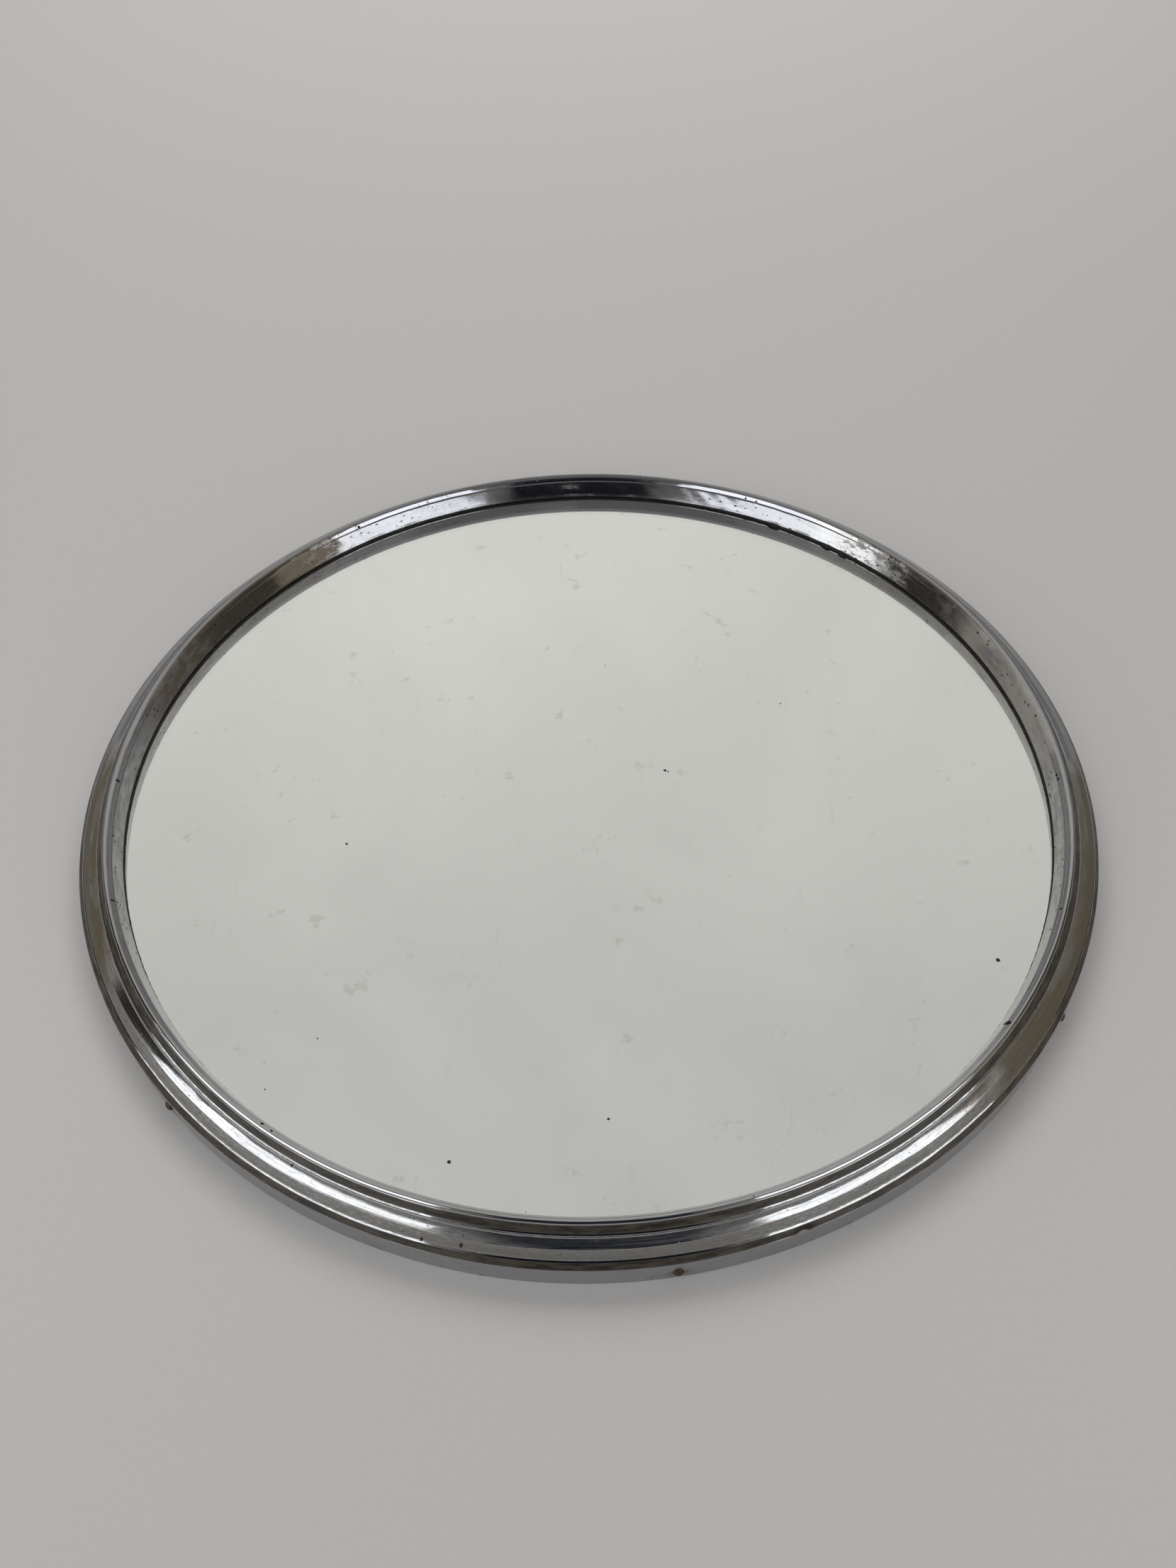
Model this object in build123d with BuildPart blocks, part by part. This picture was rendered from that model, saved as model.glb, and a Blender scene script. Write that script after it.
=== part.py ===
from build123d import *
from math import cos, radians, sin
import os

os.makedirs("parts", exist_ok=True)

# Round wall mirror in a stepped chrome ring, lying on its back. All sizes are in mm.
# Z = 0 is the plane that the ring's skirt stands on, and +Z is the way the glass faces.
# +Y is the top of the mirror as it hangs, and the origin is the middle of the back.

# Ring, a spun sheet-metal moulding
RING_R = 225.0  # outside radius
SHEET = 0.8  # wall of the skirt
RIM_Z = 12.4  # sharp rim above the skirt
LIP_R = 207.0  # free edge of the ring, which traps the glass
LIP_Z = 10.7
LIP_EDGE = 0.85  # width of that edge
EDGE_ROUND = 0.3  # on the rim and the foot of the skirt
CREST_R = 211.6  # highest step of the moulding
CREST_Z = 22.3

# Stack under the lip, from the front to the back
SEAL_T = 0.25
GLASS_R = 215.9
GLASS_T = 2.4
SILVER_T = 0.05
PAINT_T = 0.10
TAPE_T = 0.10
CUSHION_T = 0.5
BOARD_T = 5.1
BOARD_R = 223.9
BACK_PAPER_T = 0.15
BACK_PAPER_R = 222.0

GLASS_TOP = LIP_Z - SEAL_T
GLASS_BOTTOM = GLASS_TOP - GLASS_T
SILVER_BOTTOM = GLASS_BOTTOM - SILVER_T
PAINT_BOTTOM = SILVER_BOTTOM - PAINT_T
BOARD_TOP = PAINT_BOTTOM - CUSHION_T
BOARD_BOTTOM = BOARD_TOP - BOARD_T

SEAL_LAP = 4.0  # how far the mastic reaches outwards over the glass
SEAL_RISE = 0.9  # how far it climbs the inside of the wall
GROUND_EDGE = 0.3  # chamfer on the cut edge of the glass
BOARD_EDGE = 0.4  # chamfer on the board
TAPE_LAP = 3.0  # how far the edge tape folds over the glass

# Cork spacers that keep the glass central
SPACERS = 6
SPACER_ARC = 5.0  # degrees
SPACER_H = 2.4

# Round-head pins through the skirt into the edge of the board, set by hand about 51 degrees apart
PIN_AZIMUTHS = (-83.0, -35.0, 17.0, 69.0, 120.5, 172.5, 224.5)
PIN_Z = (BOARD_TOP + BOARD_BOTTOM) / 2
PIN_R = 0.8
PIN_HEAD_R = 2.1
PIN_HEAD_H = 1.1
PIN_L = 13.0
PIN_POINT = 2.0

HOLE_GAP = 0.05  # round pins and rivets, on the radius
BOARD_GAP = 0.02  # round the pins in the board, where they are a drive fit

# Hanger, let into a pocket in the back of the board
WIRE_R = 1.2
HINGE_GAP = 0.08
BARREL_R = 2.2
BARREL_L = 10.0
HINGE_Y = 150.0
POCKET_DEPTH = 2.4
POCKET_W = 34.0
POCKET_ABOVE = 25.0  # from the hinge towards the top
POCKET_BELOW = 25.0
POCKET_CORNER = 8.0
STRAP_T = 0.9
STRAP_W = 16.0
STRAP_L = 14.0
LOOP_HALF_W = 12.0  # wire centre line, sideways
LOOP_CORNER = 3.0
LOOP_REACH = 18.0  # wire centre line, from the hinge to the far end
RIVET_X = 4.2
RIVET_Y = 8.5  # from the hinge
RIVET_R = 1.5
RIVET_HEAD_R = 2.5
RIVET_HEAD_H = 0.6

POCKET_Z = BOARD_BOTTOM + POCKET_DEPTH
HINGE_Z = POCKET_Z - BARREL_R


def radial_plane(azimuth, height=0.0):
    """Upright plane through the axis: local X runs outwards, local Y runs up."""
    turn = radians(azimuth)
    return Plane(origin=(0, 0, height), x_dir=(cos(turn), sin(turn), 0), z_dir=(sin(turn), -cos(turn), 0))


def pocket_outline():
    """Outline of the hanger pocket, drawn into the sketch that is open."""
    with Locations((0, HINGE_Y + (POCKET_ABOVE - POCKET_BELOW) / 2)):
        RectangleRounded(POCKET_W, POCKET_ABOVE + POCKET_BELOW, POCKET_CORNER)


# Ring: steep inner wall, rounded shoulder, crest, sloping band, broad roll, narrow ledge and band, skirt
SHOULDER_START = (LIP_R + 1.8, LIP_Z + 8.1)
SHOULDER_MIDDLE = (LIP_R + 2.8, CREST_Z - 1.4)
CREST = (CREST_R, CREST_Z)
CREST_SIDE = (CREST_R + 0.76, CREST_Z - 0.34)
BAND_START = (CREST_R + 1.1, CREST_Z - 1.1)
BAND_END = (CREST_R + 3.4, CREST_Z - 3.05)
STEP_SIDE = (CREST_R + 3.8, CREST_Z - 3.5)
STEP_FOOT = (CREST_R + 4.0, CREST_Z - 4.15)
ROLL_START = (CREST_R + 4.3, CREST_Z - 4.2)
ROLL_MIDDLE = (CREST_R + 7.6, CREST_Z - 4.7)
ROLL_END = (RING_R - 3.0, RIM_Z + 2.7)
LEDGE = (RING_R - 2.75, RIM_Z + 2.6)
LEDGE_SIDE = (RING_R - 2.35, RIM_Z + 2.35)
LAST_BAND = (RING_R - 2.1, RIM_Z + 2.0)

# The same steps seen from inside, about 0.8 to 1 mm lower
ROLL_END_INSIDE = (RING_R - 2.9, RIM_Z + 1.4)
ROLL_MIDDLE_INSIDE = (CREST_R + 7.4, CREST_Z - 5.5)
ROLL_START_INSIDE = (CREST_R + 4.3, CREST_Z - 5.1)
STEP_INSIDE = (CREST_R + 3.1, CREST_Z - 5.0)
BAND_END_INSIDE = (CREST_R + 2.85, CREST_Z - 3.95)
BAND_START_INSIDE = (CREST_R + 0.2, CREST_Z - 1.6)
CREST_INSIDE = (CREST_R - 0.1, CREST_Z - 0.9)
SHOULDER_MIDDLE_INSIDE = (LIP_R + 3.4, CREST_Z - 1.9)
SHOULDER_START_INSIDE = (LIP_R + 2.6, LIP_Z + 8.1)

with BuildPart() as bezel_ring:
    with BuildSketch(Plane.XZ):
        with BuildLine():
            Line((LIP_R, LIP_Z), SHOULDER_START)
            ThreePointArc(SHOULDER_START, SHOULDER_MIDDLE, CREST)
            ThreePointArc(CREST, CREST_SIDE, BAND_START)
            Line(BAND_START, BAND_END)
            ThreePointArc(BAND_END, STEP_SIDE, STEP_FOOT)
            Line(STEP_FOOT, ROLL_START)
            ThreePointArc(ROLL_START, ROLL_MIDDLE, ROLL_END)
            Line(ROLL_END, LEDGE)
            ThreePointArc(LEDGE, LEDGE_SIDE, LAST_BAND)
            FilletPolyline(
                LAST_BAND,
                (RING_R, RIM_Z),
                (RING_R, 0),
                (RING_R - SHEET, 0),
                (RING_R - SHEET, RIM_Z - 0.5),
                ROLL_END_INSIDE,
                radius=EDGE_ROUND,
            )
            ThreePointArc(ROLL_END_INSIDE, ROLL_MIDDLE_INSIDE, ROLL_START_INSIDE)
            Polyline(ROLL_START_INSIDE, STEP_INSIDE, BAND_END_INSIDE, BAND_START_INSIDE, CREST_INSIDE)
            ThreePointArc(CREST_INSIDE, SHOULDER_MIDDLE_INSIDE, SHOULDER_START_INSIDE)
            Polyline(SHOULDER_START_INSIDE, (LIP_R + LIP_EDGE, LIP_Z), (LIP_R, LIP_Z))
        make_face()
    revolve(axis=Axis.Z)
    for azimuth in PIN_AZIMUTHS:
        with BuildSketch(radial_plane(azimuth, PIN_Z)):
            with Locations((RING_R, 0)):
                Rectangle(4 * SHEET, PIN_R + HOLE_GAP, align=(Align.CENTER, Align.MIN))
        revolve(axis=Axis((0, 0, PIN_Z), radial_plane(azimuth).x_dir), mode=Mode.SUBTRACT)
bezel_ring.part.label = "bezel_ring"
export_step(bezel_ring.part, "parts/bezel_ring.step")

# Glass and what is laid on its back
with BuildPart() as mirror_glass:
    with BuildSketch(Plane.XY.offset(GLASS_BOTTOM)):
        Circle(GLASS_R)
    extrude(amount=GLASS_T)
    chamfer(mirror_glass.edges(), GROUND_EDGE)
mirror_glass.part.label = "mirror_glass"
export_step(mirror_glass.part, "parts/mirror_glass.step")

with BuildPart() as silver_coat:
    with BuildSketch(Plane.XY.offset(SILVER_BOTTOM)):
        Circle(GLASS_R - GROUND_EDGE)
    extrude(amount=SILVER_T)
silver_coat.part.label = "silver_coat"
export_step(silver_coat.part, "parts/silver_coat.step")

with BuildPart() as back_paint:
    with BuildSketch(Plane.XY.offset(PAINT_BOTTOM)):
        Circle(GLASS_R - GROUND_EDGE)
    extrude(amount=PAINT_T)
back_paint.part.label = "back_paint"
export_step(back_paint.part, "parts/back_paint.step")

# Gummed tape folded round the edge of the glass
with BuildPart() as edge_tape:
    with BuildSketch(Plane.XZ):
        with BuildLine():
            Polyline(
                (GLASS_R - TAPE_LAP, GLASS_TOP),
                (GLASS_R, GLASS_TOP),
                (GLASS_R, PAINT_BOTTOM),
                (GLASS_R - TAPE_LAP, PAINT_BOTTOM),
                (GLASS_R - TAPE_LAP, PAINT_BOTTOM - TAPE_T),
                (GLASS_R + TAPE_T, PAINT_BOTTOM - TAPE_T),
                (GLASS_R + TAPE_T, GLASS_TOP + TAPE_T),
                (GLASS_R - TAPE_LAP, GLASS_TOP + TAPE_T),
                close=True,
            )
        make_face()
    revolve(axis=Axis.Z)
edge_tape.part.label = "edge_tape"
export_step(edge_tape.part, "parts/edge_tape.step")

# Black mastic squeezed between the lip and the glass
with BuildPart() as lip_seal:
    with BuildSketch(Plane.XZ):
        with BuildLine():
            Polyline(
                (LIP_R, GLASS_TOP),
                (LIP_R + SEAL_LAP, GLASS_TOP),
                (LIP_R + 1.2, LIP_Z + SEAL_RISE),
                (LIP_R + LIP_EDGE, LIP_Z),
                (LIP_R, LIP_Z),
                close=True,
            )
        make_face()
    revolve(axis=Axis.Z)
lip_seal.part.label = "lip_seal"
export_step(lip_seal.part, "parts/lip_seal.step")

for number in range(SPACERS):
    start = 360 / SPACERS * number + 30 - SPACER_ARC / 2
    with BuildPart() as glass_spacer:
        with BuildSketch(radial_plane(start)):
            with Locations((GLASS_R + 2 * TAPE_T, BOARD_TOP)):
                Rectangle(
                    RING_R - SHEET - GLASS_R - 3 * TAPE_T,
                    SPACER_H,
                    align=(Align.MIN, Align.MIN),
                )
        revolve(axis=Axis.Z, revolution_arc=SPACER_ARC)
    glass_spacer.part.label = f"glass_spacer_{number + 1}"
    export_step(glass_spacer.part, f"parts/glass_spacer_{number + 1}.step")

with BuildPart() as cushion_paper:
    with BuildSketch(Plane.XY.offset(BOARD_TOP)):
        Circle(GLASS_R - TAPE_LAP - 2 * TAPE_T)
    extrude(amount=CUSHION_T)
cushion_paper.part.label = "cushion_paper"
export_step(cushion_paper.part, "parts/cushion_paper.step")

# Plywood disc with the hanger's pocket, rivet holes and pin holes
with BuildPart() as backing_board:
    with BuildSketch(Plane.XY.offset(BOARD_BOTTOM)):
        Circle(BOARD_R)
    extrude(amount=BOARD_T)
    chamfer(backing_board.edges(), BOARD_EDGE)
    with BuildSketch(Plane.XY.offset(BOARD_BOTTOM)):
        pocket_outline()
    extrude(amount=POCKET_DEPTH, mode=Mode.SUBTRACT)
    with Locations((-RIVET_X, HINGE_Y - RIVET_Y, BOARD_TOP), (RIVET_X, HINGE_Y - RIVET_Y, BOARD_TOP)):
        CounterBoreHole(RIVET_R + HOLE_GAP, RIVET_HEAD_R + 2 * HOLE_GAP, RIVET_HEAD_H)
    for azimuth in PIN_AZIMUTHS:
        with BuildSketch(radial_plane(azimuth, PIN_Z)):
            with Locations((RING_R - PIN_L - 1, 0)):
                Rectangle(PIN_L + 1, PIN_R + BOARD_GAP, align=(Align.MIN, Align.MIN))
        revolve(axis=Axis((0, 0, PIN_Z), radial_plane(azimuth).x_dir), mode=Mode.SUBTRACT)
backing_board.part.label = "backing_board"
export_step(backing_board.part, "parts/backing_board.step")

with BuildPart() as back_paper:
    with BuildSketch(Plane.XY.offset(BOARD_BOTTOM - BACK_PAPER_T)):
        Circle(BACK_PAPER_R)
    extrude(amount=BACK_PAPER_T)
    with BuildSketch(Plane.XY.offset(BOARD_BOTTOM - BACK_PAPER_T)):
        pocket_outline()
    extrude(amount=BACK_PAPER_T, mode=Mode.SUBTRACT)
back_paper.part.label = "back_paper"
export_step(back_paper.part, "parts/back_paper.step")

with BuildPart() as skirt_pins:
    for azimuth in PIN_AZIMUTHS:
        with BuildSketch(radial_plane(azimuth, PIN_Z)):
            with BuildLine():
                ThreePointArc(
                    (RING_R + PIN_HEAD_H, 0),
                    (RING_R + PIN_HEAD_H * 0.74, PIN_HEAD_R * 0.62),
                    (RING_R, PIN_HEAD_R),
                )
                Polyline(
                    (RING_R, PIN_HEAD_R),
                    (RING_R, PIN_R),
                    (RING_R - PIN_L + PIN_POINT, PIN_R),
                    (RING_R - PIN_L, 0),
                    (RING_R + PIN_HEAD_H, 0),
                )
            make_face()
        revolve(axis=Axis((0, 0, PIN_Z), radial_plane(azimuth).x_dir))
skirt_pins.part.label = "skirt_pins"
export_step(skirt_pins.part, "parts/skirt_pins.step")

# Hanger: a folded strap riveted into the pocket, and the wire loop that swings in it
with BuildPart() as hanger_strap:
    with BuildSketch(Plane.XY.offset(POCKET_Z)):
        with Locations((0, HINGE_Y - STRAP_L / 2)):
            Rectangle(STRAP_W, STRAP_L)
    extrude(amount=-STRAP_T)
    chamfer(hanger_strap.edges().filter_by(Axis.Z), 2.0)
    with BuildSketch(Plane.YZ.offset(-BARREL_L / 2)):
        with Locations((HINGE_Y, HINGE_Z)):
            Circle(BARREL_R)
    extrude(amount=BARREL_L)
    with BuildSketch(Plane.YZ.offset(-STRAP_W / 2)):
        with Locations((HINGE_Y, HINGE_Z)):
            Circle(WIRE_R + HINGE_GAP)
    extrude(amount=STRAP_W, mode=Mode.SUBTRACT)
    with Locations((-RIVET_X, HINGE_Y - RIVET_Y, POCKET_Z), (RIVET_X, HINGE_Y - RIVET_Y, POCKET_Z)):
        Hole(RIVET_R + HOLE_GAP)
hanger_strap.part.label = "hanger_strap"
export_step(hanger_strap.part, "parts/hanger_strap.step")

with BuildPart() as hanger_ring:
    with BuildLine(Plane((0, HINGE_Y, HINGE_Z))) as half_loop:
        Line((0, 0), (LOOP_HALF_W - LOOP_CORNER, 0))
        RadiusArc((LOOP_HALF_W - LOOP_CORNER, 0), (LOOP_HALF_W, LOOP_CORNER), -LOOP_CORNER)
        Line((LOOP_HALF_W, LOOP_CORNER), (LOOP_HALF_W, LOOP_REACH - LOOP_HALF_W))
        RadiusArc((LOOP_HALF_W, LOOP_REACH - LOOP_HALF_W), (0, LOOP_REACH), -LOOP_HALF_W)
    with BuildSketch(Plane.YZ):
        with Locations((HINGE_Y, HINGE_Z)):
            Circle(WIRE_R)
    sweep(path=half_loop.wire())
    mirror(about=Plane.YZ)
hanger_ring.part.label = "hanger_ring"
export_step(hanger_ring.part, "parts/hanger_ring.step")

with BuildPart() as hanger_rivets:
    for side in (-RIVET_X, RIVET_X):
        with BuildSketch(Plane((side, HINGE_Y - RIVET_Y, 0), x_dir=(1, 0, 0), z_dir=(0, -1, 0))):
            with BuildLine():
                ThreePointArc(
                    (0, POCKET_Z - STRAP_T - RIVET_HEAD_H),
                    (RIVET_HEAD_R * 0.62, POCKET_Z - STRAP_T - RIVET_HEAD_H * 0.7),
                    (RIVET_HEAD_R, POCKET_Z - STRAP_T),
                )
                Polyline(
                    (RIVET_HEAD_R, POCKET_Z - STRAP_T),
                    (RIVET_R, POCKET_Z - STRAP_T),
                    (RIVET_R, BOARD_TOP - RIVET_HEAD_H),
                    (RIVET_HEAD_R, BOARD_TOP - RIVET_HEAD_H),
                    (RIVET_HEAD_R, BOARD_TOP),
                    (0, BOARD_TOP),
                    (0, POCKET_Z - STRAP_T - RIVET_HEAD_H),
                )
            make_face()
        revolve(axis=Axis((side, HINGE_Y - RIVET_Y, 0), (0, 0, 1)))
hanger_rivets.part.label = "hanger_rivets"
export_step(hanger_rivets.part, "parts/hanger_rivets.step")
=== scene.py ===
# Round wall mirror in a stepped chrome ring: its finishes, fine meshes, studio and camera.
# Metres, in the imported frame: +Z is the way the glass faces and +Y is the top as it hangs.
import bpy
import math
import numpy as np
from mathutils import Matrix, Quaternion, Vector


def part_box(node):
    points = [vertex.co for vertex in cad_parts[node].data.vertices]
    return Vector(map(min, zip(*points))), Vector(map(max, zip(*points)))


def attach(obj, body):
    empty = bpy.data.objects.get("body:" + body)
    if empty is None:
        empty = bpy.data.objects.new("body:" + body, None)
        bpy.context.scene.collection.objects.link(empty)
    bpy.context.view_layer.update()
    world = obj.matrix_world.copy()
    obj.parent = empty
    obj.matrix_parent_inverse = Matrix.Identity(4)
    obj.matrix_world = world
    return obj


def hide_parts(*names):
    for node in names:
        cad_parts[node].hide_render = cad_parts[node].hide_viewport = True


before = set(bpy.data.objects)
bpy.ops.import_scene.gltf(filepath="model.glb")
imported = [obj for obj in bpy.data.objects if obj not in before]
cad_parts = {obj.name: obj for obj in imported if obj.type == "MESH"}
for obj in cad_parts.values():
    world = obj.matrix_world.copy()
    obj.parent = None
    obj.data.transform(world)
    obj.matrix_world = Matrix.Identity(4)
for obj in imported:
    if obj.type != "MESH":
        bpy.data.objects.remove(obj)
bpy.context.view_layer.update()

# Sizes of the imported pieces, and of the ring's section measured from them.
MM = 0.001
RING_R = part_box("bezel_ring")[1][0]
CREST_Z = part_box("bezel_ring")[1][2]
GLASS_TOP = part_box("mirror_glass")[1][2]
SILVER_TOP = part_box("silver_coat")[1][2]
LIP_R = RING_R - 18 * MM
LIP_Z = GLASS_TOP + 0.25 * MM
CREST_R = LIP_R + 4.6 * MM
RIM_Z = CREST_Z - 9.9 * MM
SHEET = 0.8 * MM
PIN_AZIMUTHS = (-83.0, -35.0, 17.0, 69.0, 120.5, 172.5, 224.5)

# Zones of the ring over its radius, in mm, from the inside outwards. A fade is where one starts or ends.
WALL_FADE = (210.2, 211.0)
FIRST_BAND = (212.9, 214.95)
FIRST_CREASE = (215.0, 215.6)
ROLL = (215.8, 222.3)
LOW_ROLL_FADE = (219.9, 220.5)
LOW_ROLL_END_FADE = (222.2, 222.45)
LAST_CREASE = (222.3, 222.7)
LAST_BAND = (223.0, 224.75)

# Zones of the ring over its height, in mm, and the middle of the pins in its skirt.
SKIRT_FADE = (11.9, 12.3)
RIM_FADE = (12.1, 12.5)
PIN_HEIGHT = 4.2

# Lumps of dirt on the ring: azimuth in degrees, then radius and size in mm.
DIRT_SPOTS = (
    (-41.8, 209.8, 1.2), (-124.5, 210.5, 0.6), (-123.2, 210.8, 0.5), (-119.7, 216.3, 0.5),
    (-105.7, 222.0, 0.6), (-102.1, 221.2, 0.7),
)

# Places where the silver has gone: x, y and radius in mm.
SPECKS = (
    (36.0, 0.3, 0.7), (37.3, -0.6, 0.4), (-106.0, -38.0, 0.6), (164.0, -105.0, 0.9),
    (5.0, -169.0, 0.5), (-53.0, -184.0, 0.7), (-124.0, -154.0, 0.35), (94.0, 41.0, 0.4),
    (-107.0, -133.0, 0.3), (60.0, -60.0, 0.2), (-30.0, 120.0, 0.2),
)

# Dents in the ring: azimuth in degrees, radius and height in mm, depth in mm, and reach in degrees.
RIM = (RING_R / MM, RIM_Z / MM)
DENTS = (
    (-71.7, RIM, 0.85, 0.50),
    (-64.0, RIM, 0.2, 0.5),
    (-128.0, RIM, 0.25, 0.6),
    (-150.0, RIM, 0.2, 0.5),
    (-101.0, (RING_R / MM - 6, CREST_Z / MM - 6), 0.06, 1.0),
    (92.0, (LIP_R / MM + 1, 16.0), 0.05, 1.2),
)

# Cards of the studio: name, colour, corner, the two sides from it, and how soft the edge is.
CARDS = (
    ("photographer", (0.014, 0.015, 0.022), (-0.26, -0.66, 0.05), (0.52, 0.0, 0.0), (0.0, -0.08, 1.1), 0.12),
    ("phone", (0.04, 0.043, 0.052), (-0.20, -0.60, 0.47), (0.40, 0.0, 0.0), (0.0, 0.46, 0.06), 0.25),
    ("room_left", (0.05, 0.041, 0.032), (-1.0, -0.17, -0.1), (0.0, 0.44, 0.0), (0.0, 0.0, 1.15), 0.05),
    ("room_right", (0.33, 0.28, 0.215), (1.0, -0.50, -0.1), (0.0, 0.36, 0.0), (0.0, 0.0, 1.15), 0.08),
    ("doorway", (0.08, 0.067, 0.052), (1.0, -0.17, -0.1), (0.0, 0.44, 0.0), (0.0, 0.0, 1.15), 0.05),
)


class Nodes:
    """Builds one node tree with short calls."""

    def __init__(self, tree):
        self.tree = tree
        tree.nodes.clear()

    def plug(self, socket, value):
        if isinstance(value, bpy.types.Node):
            value = value.outputs[0]
        if isinstance(value, bpy.types.NodeSocket):
            self.tree.links.new(value, socket)
        else:
            socket.default_value = value

    def node(self, kind, inputs=None, **settings):
        made = self.tree.nodes.new(kind)
        for name, value in settings.items():
            setattr(made, name, value)
        for name, value in (inputs or {}).items():
            self.plug(made.inputs[name], value)
        return made

    def maths(self, operation, *values):
        made = self.node("ShaderNodeMath", operation=operation)
        for socket, value in zip(made.inputs, values):
            self.plug(socket, value)
        return made.outputs[0]

    def vector(self, operation, *values, output="Vector"):
        made = self.node("ShaderNodeVectorMath", operation=operation)
        for socket, value in zip(made.inputs, values):
            self.plug(socket, value)
        return made.outputs[output]

    def scaled(self, vector, factor):
        made = self.node("ShaderNodeVectorMath", operation="SCALE")
        self.plug(made.inputs[0], vector)
        self.plug(made.inputs["Scale"], factor)
        return made.outputs[0]

    def step(self, value, low, high, start=0.0, end=1.0):
        """Smooth step of value from start at low to end at high."""
        made = self.node("ShaderNodeMapRange", interpolation_type="SMOOTHSTEP")
        for name, number in (("From Min", low), ("From Max", high), ("To Min", start), ("To Max", end)):
            made.inputs[name].default_value = number
        self.plug(made.inputs["Value"], value)
        return made.outputs[0]

    def near(self, value, middle, reach):
        """One where value is at middle, falling to nothing at reach from it."""
        gap = self.maths("ABSOLUTE", self.maths("SUBTRACT", value, middle))
        return self.step(gap, 0.0, reach, 1.0, 0.0)

    def between(self, value, low, high, soft):
        """One where value is from low to high, with soft ends."""
        start = self.step(value, low - soft, low + soft)
        return self.maths("MULTIPLY", start, self.step(value, high - soft, high + soft, 1.0, 0.0))

    def both(self, *masks):
        """Product of all the masks given."""
        product = masks[0]
        for mask in masks[1:]:
            product = self.maths("MULTIPLY", product, mask)
        return product

    def any(self, *masks):
        """Greatest of all the masks given."""
        most = masks[0]
        for mask in masks[1:]:
            most = self.maths("MAXIMUM", most, mask)
        return most

    def mix(self, factor, first, second):
        made = self.node("ShaderNodeMix", data_type="RGBA")
        self.plug(made.inputs[0], factor)
        for socket, colour in ((made.inputs[6], first), (made.inputs[7], second)):
            self.plug(socket, colour if not isinstance(colour, tuple) else (*colour, 1.0))
        return made.outputs[2]

    def noise(self, vector, scale, detail=3.0, roughness=0.5, distortion=0.0):
        made = self.node("ShaderNodeTexNoise")
        self.plug(made.inputs["Vector"], vector)
        for name, number in (("Scale", scale), ("Detail", detail), ("Roughness", roughness),
                             ("Distortion", distortion)):
            made.inputs[name].default_value = number
        return made.outputs[0]

    def cells(self, vector):
        """Voronoi cells about one unit wide."""
        return self.node("ShaderNodeTexVoronoi", {"Vector": vector, "Scale": 1.0})

    def place(self):
        return self.node("ShaderNodeTexCoord").outputs["Object"]

    def split(self, vector):
        return self.node("ShaderNodeSeparateXYZ", {"Vector": vector}).outputs

    def joined(self, x, y, z):
        return self.node("ShaderNodeCombineXYZ", {"X": x, "Y": y, "Z": z}).outputs[0]

    def bump(self, height, distance, strength=1.0, under=None):
        made = self.node("ShaderNodeBump")
        made.inputs["Strength"].default_value = strength
        made.inputs["Distance"].default_value = distance
        self.plug(made.inputs["Height"], height)
        if under is not None:
            self.plug(made.inputs["Normal"], under)
        return made.outputs[0]


def material(name):
    made = bpy.data.materials.new(name)
    made.use_nodes = True
    return made, Nodes(made.node_tree)


def surface(tree, colour, roughness, bump, **sockets):
    """Principled shader and output. Further sockets are named with _ for a space."""
    inputs = {"Base Color": colour, "Roughness": roughness, "Normal": bump}
    shader = tree.node("ShaderNodeBsdfPrincipled", inputs)
    for name, value in sockets.items():
        tree.plug(shader.inputs[name.replace("_", " ")], value)
    tree.node("ShaderNodeOutputMaterial", {"Surface": shader.outputs[0]})


# Finishes

class RingPlace:
    """Where a point is on the ring: radius and height in mm, azimuth in degrees."""

    def __init__(self, tree):
        self.tree = tree
        self.spot = tree.place()
        x, y, z = tree.split(self.spot)
        self.flat = tree.joined(x, y, 0.0)
        self.radius = tree.maths("DIVIDE", tree.vector("LENGTH", self.flat, output="Value"), MM)
        self.height = tree.maths("DIVIDE", z, MM)
        self.azimuth = tree.maths("DEGREES", tree.maths("ARCTAN2", y, x))
        self.across = tree.maths("SUBTRACT", self.radius, self.height)

    def away(self, azimuth):
        """Degrees from an azimuth, either way round."""
        turn = self.tree.maths("SUBTRACT", self.azimuth, azimuth)
        turn = self.tree.maths("WRAP", turn, 180.0, -180.0)
        return self.tree.maths("ABSOLUTE", turn)

    def sector(self, azimuth, half, soft):
        """One within half degrees of an azimuth, falling to nothing over soft degrees."""
        return self.tree.step(self.away(azimuth), half, half + soft, 1.0, 0.0)

    def sectors(self, *spans):
        """Any of several sectors, each given as azimuth, half and soft."""
        return self.tree.any(*(self.sector(*span) for span in spans))

    def stretched(self, along, across):
        """Texture place where one unit is along mm round the ring and across mm over its section."""
        tree = self.tree
        around = tree.scaled(tree.vector("NORMALIZE", self.flat), RING_R / MM / along)
        x, y, _ = tree.split(around)
        return tree.joined(x, y, tree.maths("DIVIDE", self.across, across))

    def spots(self, along, across, size, share):
        """Scattered specks: cells along by across mm, of which the given share hold a speck."""
        tree = self.tree
        cells = tree.cells(self.stretched(along, across))
        chosen = tree.step(tree.split(cells.outputs["Color"])[0], 1.0 - share, 1.0 - share + 0.01)
        ragged = tree.maths("MULTIPLY", tree.noise(self.spot, 1600.0, 2.0), size)
        gap = tree.maths("ADD", cells.outputs["Distance"], ragged)
        return tree.both(chosen, tree.step(gap, 1.1 * size, 1.4 * size, 1.0, 0.0))


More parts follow.
